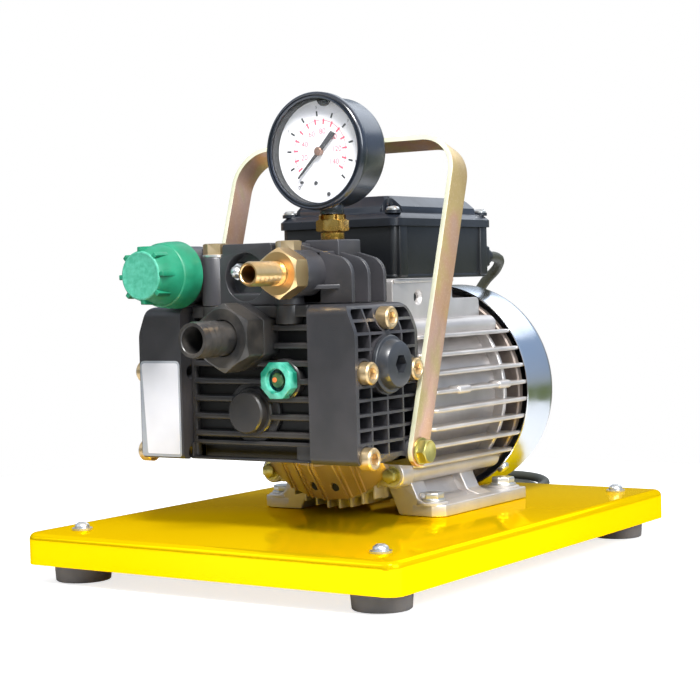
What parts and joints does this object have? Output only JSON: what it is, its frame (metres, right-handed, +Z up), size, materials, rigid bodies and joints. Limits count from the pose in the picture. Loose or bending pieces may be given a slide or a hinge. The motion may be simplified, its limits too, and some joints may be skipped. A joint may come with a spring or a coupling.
{
  "type": "flushing pump",
  "caption": "Motor-driven diaphragm flushing pump on a folded sheet tray with rubber feet, carrying handle, pressure gauge, regulator knob and barbed hose tails.",
  "frame": {"origin": "on the floor under the middle of the tray", "axes": "+Z up, +Y towards the motor's fan, -Y towards the pump's hose tails, +X to the right as seen from the pump's front"},
  "size_m": [0.2814, 0.4934, 0.285],
  "materials": {
    "yellow_paint": "gloss powder coat",
    "cast_aluminium": "satin die cast",
    "zinc_sheet": "bright zinc plate",
    "steel": "ground",
    "winding": "varnished laminations and copper",
    "black_plastic": "satin moulded",
    "pump_plastic": "glass-filled, satin",
    "black_casting": "black satin coating",
    "grey_plastic": "satin",
    "black_rubber": "matt",
    "yellow_zinc": "yellow passivated zinc",
    "brass": "machined",
    "green_plastic": "satin moulded",
    "green_clear": "translucent",
    "clear_pane": "polished",
    "white_dial": "matt white",
    "cord_black": "satin sheath"
  },
  "bodies": {
    "base": {"base_plate": "yellow_paint", "rubber_foot_front_left": "black_rubber", "rubber_foot_rear_left": "black_rubber", "rubber_foot_front_right": "black_rubber", "rubber_foot_rear_right": "black_rubber", "motor_frame": "cast_aluminium", "front_shield": "cast_aluminium", "rear_shield": "cast_aluminium", "stator_core": "winding", "front_bearing": "steel", "rear_bearing": "steel", "pump_bearing": "steel", "fan_cover": "zinc_sheet", "terminal_box": "black_plastic", "terminal_lid": "black_plastic", "run_capacitor": "grey_plastic", "cable_gland": "black_plastic", "crankcase": "black_casting", "pump_adapter": "black_casting", "bearing_cap": "black_plastic", "oil_sight_plug": "green_clear", "left_head": "pump_plastic", "left_valve_plug": "pump_plastic", "left_head_screw_1": "yellow_zinc", "left_head_screw_2": "yellow_zinc", "left_head_screw_3": "yellow_zinc", "left_head_screw_4": "yellow_zinc", "handle_bolt_left": "yellow_zinc", "right_head": "pump_plastic", "right_valve_plug": "pump_plastic", "right_head_screw_1": "yellow_zinc", "right_head_screw_2": "yellow_zinc", "right_head_screw_3": "yellow_zinc", "right_head_screw_4": "yellow_zinc", "handle_bolt_right": "yellow_zinc", "left_diaphragm": "black_rubber", "right_diaphragm": "black_rubber", "manifold": "pump_plastic", "manifold_bolt_left": "yellow_zinc", "manifold_bolt_right": "yellow_zinc", "suction_tail": "pump_plastic", "suction_nut": "pump_plastic", "delivery_tail": "brass", "delivery_nut": "brass", "regulator_spring": "steel", "gauge_fitting": "brass", "gauge_case": "black_plastic", "gauge_glass": "clear_pane", "gauge_dial": "white_dial", "power_cord": "cord_black", "cord_coil": "cord_black", "plug": "cord_black"},
    "rotor": {"rotor": "steel", "cooling_fan": "black_plastic", "eccentric": "steel"},
    "yoke": {"piston_yoke": "cast_aluminium"},
    "pusher": {"regulator_pusher": "brass"},
    "knob": {"regulator_knob": "green_plastic"},
    "pointer": {"gauge_pointer": "black_plastic"},
    "carry_handle": {"handle": "yellow_zinc"}
  },
  "joints": [
    {"name": "rotor_spin", "type": "hinge", "parent": "base", "child": "rotor", "pos_m": [0, 0, 0.101], "axis": [0, 1, 0], "continuous": true},
    {"name": "yoke_slide", "type": "slide", "parent": "base", "child": "yoke", "axis": [1, 0, 0], "range_m": [-0.0025, 0.0025]},
    {"name": "pusher_slide", "type": "slide", "parent": "base", "child": "pusher", "axis": [0, 1, 0], "range_m": [0, 0.004]},
    {"name": "knob_turn", "type": "hinge", "parent": "base", "child": "knob", "pos_m": [-0.048, -0.137, 0.182], "axis": [0, 1, 0], "range_deg": [0, 720]},
    {"name": "pointer_turn", "type": "hinge", "parent": "base", "child": "pointer", "pos_m": [0.038, -0.087, 0.251], "axis": [0, 1, 0], "range_deg": [0, 270], "stiffness_Nm_per_rad": 0.001},
    {"name": "handle_fold", "type": "hinge", "parent": "base", "child": "carry_handle", "pos_m": [0, -0.0634, 0.076], "axis": [-1, 0, 0], "range_deg": [0, 14.5]}
  ],
  "couplings": [
    {"joint": "pusher_slide", "follows": "knob_turn", "m_per_rad": 0.0003183}
  ]
}
